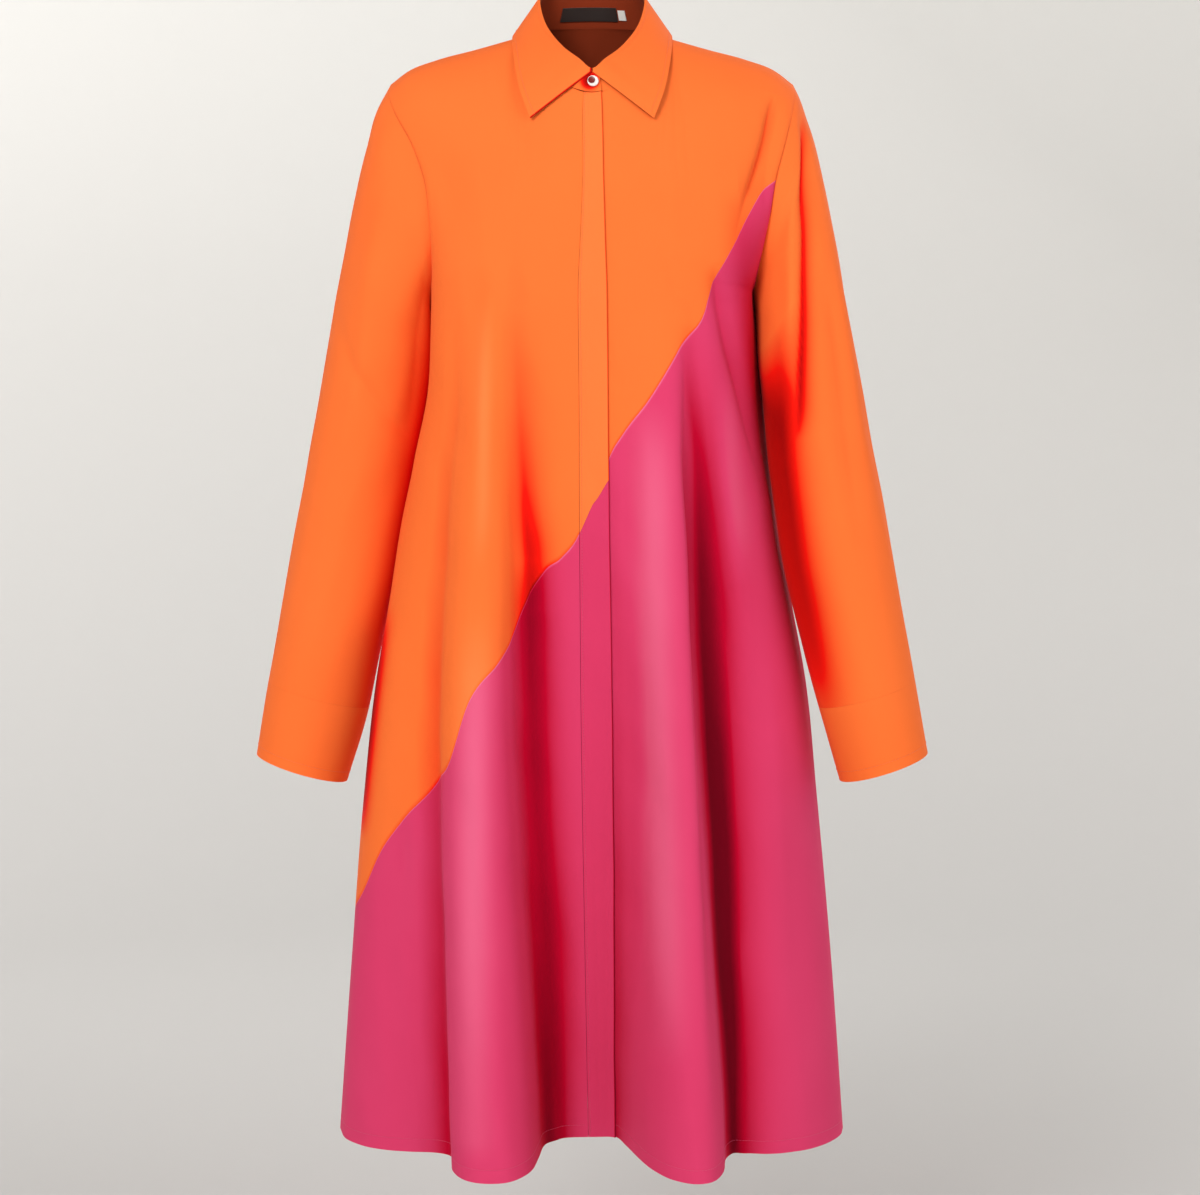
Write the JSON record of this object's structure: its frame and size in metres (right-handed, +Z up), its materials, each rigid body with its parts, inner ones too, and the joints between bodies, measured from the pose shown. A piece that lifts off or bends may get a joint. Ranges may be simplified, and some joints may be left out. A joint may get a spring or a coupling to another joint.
{
  "type": "shirt dress",
  "caption": "A flared, long-sleeved shirt dress with a pointed collar, a hidden-button placket and a diagonal colour block, filled out as it is worn",
  "frame": {"origin": "midway between the shoulders, level with the seam where the collar stand meets them, where the shoulders of the wearer hold the dress up", "axes": "+Z up, -Y to the front, the wearer's right side at -X"},
  "size_m": [0.6277, 0.3249, 1.0738],
  "materials": {
    "orange_crepe": "matt plain-dyed crepe",
    "pink_crepe": "matt plain-dyed crepe",
    "pearl_button": "polished pearl",
    "black_label": "woven satin",
    "white_tab": "woven satin"
  },
  "bodies": {
    "root": {"front_right_upper": "orange_crepe", "front_right_lower": "pink_crepe", "front_left_upper": "orange_crepe", "front_left_lower": "pink_crepe", "back_upper": "orange_crepe", "back_lower": "pink_crepe", "placket_upper": "orange_crepe", "placket_lower": "pink_crepe", "sleeve_right": "orange_crepe", "sleeve_left": "orange_crepe", "cuff_right": "orange_crepe", "cuff_left": "orange_crepe", "collar_stand": "orange_crepe", "collar_leaf": "orange_crepe", "collar_button": "pearl_button", "neck_label": "black_label", "size_tab": "white_tab"}
  },
  "joints": []
}
